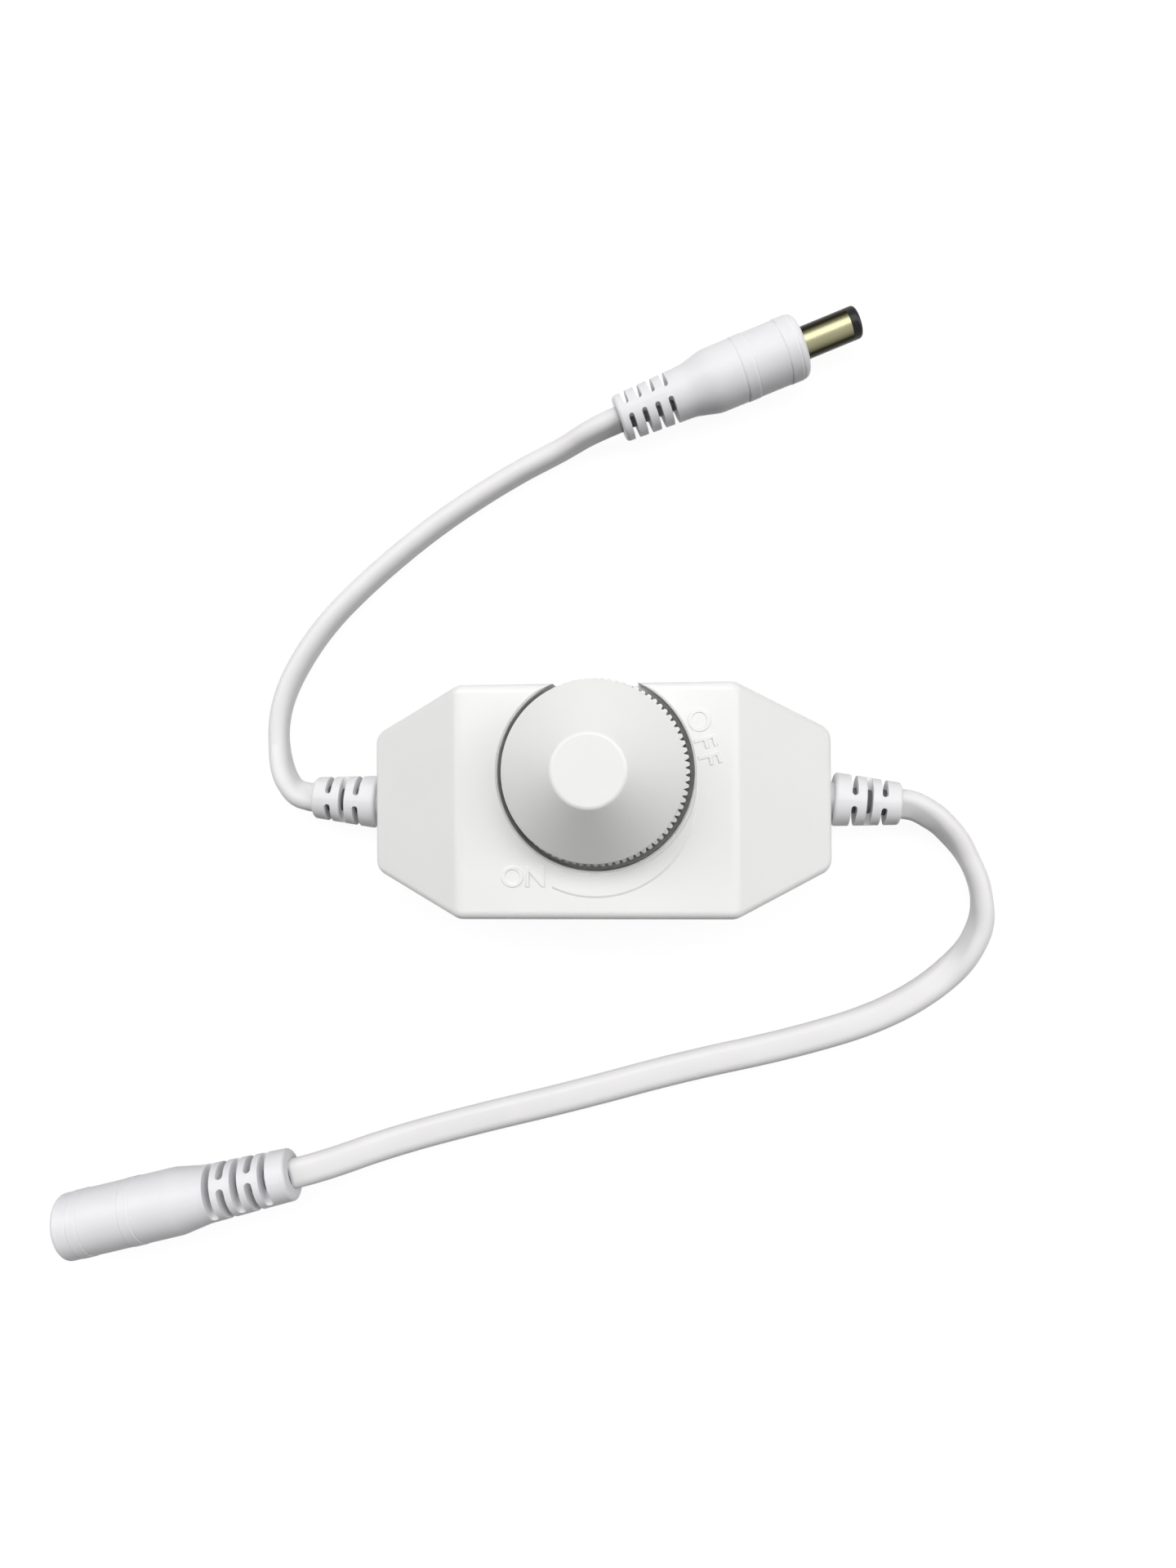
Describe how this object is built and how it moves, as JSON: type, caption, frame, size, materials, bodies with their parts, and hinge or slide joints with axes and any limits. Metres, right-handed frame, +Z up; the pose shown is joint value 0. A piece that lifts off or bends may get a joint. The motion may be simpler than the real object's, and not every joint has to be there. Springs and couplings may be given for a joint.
{
  "type": "light dimmer",
  "caption": "Inline rotary dimmer for low-voltage LED strip: white case with a knurled knob on the cable between a barrel plug and a barrel socket.",
  "frame": {"origin": "centre of the case's flat underside, on the table", "axes": "+X along the case towards the socket lead, +Y towards the side where the knob stands out, +Z up out of the knob"},
  "size_m": [0.1599, 0.1604, 0.0352],
  "materials": {
    "case_white": "satin white moulded plastic",
    "knob_white": "satin white moulded plastic",
    "relief_white": "soft white moulding",
    "jacket_white": "soft white cable jacket",
    "plug_white": "soft white overmoulding",
    "barrel_metal": "polished gold plated",
    "contact_metal": "plated spring metal",
    "insulator_black": "black moulded plastic",
    "board_green": "solder mask on glass fibre",
    "component_black": "black moulded component",
    "solder_metal": "tinned metal",
    "screw_steel": "zinc plated steel",
    "pot_plastic": "dark moulded plastic",
    "pot_metal": "cast zinc",
    "track_brown": "phenolic board with a carbon track",
    "shaft_metal": "turned aluminium",
    "can_black": "printed sleeve",
    "resistor_black": "thick film chip",
    "ceramic_tan": "ceramic chip",
    "core_red": "red wire insulation",
    "core_black": "black wire insulation"
  },
  "bodies": {
    "housing": {"upper_case": "case_white", "lower_case": "case_white", "case_screws": "screw_steel", "pot_track": "track_brown", "pot_housing": "pot_plastic", "pot_bushing": "pot_metal", "pot_terminals": "solder_metal", "circuit_board": "board_green", "power_transistor": "component_black", "transistor_leads": "solder_metal", "control_chip": "component_black", "chip_leads": "solder_metal", "capacitor_can": "can_black", "capacitor_leads": "solder_metal", "diode_body": "component_black", "diode_leads": "solder_metal", "chip_resistors": "resistor_black", "chip_capacitors": "ceramic_tan", "plug_side_relief": "relief_white", "socket_side_relief": "relief_white", "plug_lead": "jacket_white", "socket_lead": "jacket_white", "plug_positive_core": "core_red", "plug_negative_core": "core_black", "socket_positive_core": "core_red", "socket_negative_core": "core_black", "plug_body": "plug_white", "plug_barrel": "barrel_metal", "plug_insulator": "insulator_black", "plug_centre_contact": "contact_metal", "socket_body": "plug_white", "socket_insulator": "insulator_black", "socket_pin": "contact_metal", "socket_spring": "contact_metal"},
    "knob": {"control_knob": "knob_white", "pot_shaft": "shaft_metal", "pot_rotor": "pot_plastic", "pot_wiper": "contact_metal"}
  },
  "joints": [
    {"name": "knob_turn", "type": "hinge", "parent": "housing", "child": "knob", "pos_m": [0, 0.0045, 0.018], "axis": [0, 0, 1], "range_deg": [-300, 0]}
  ]
}
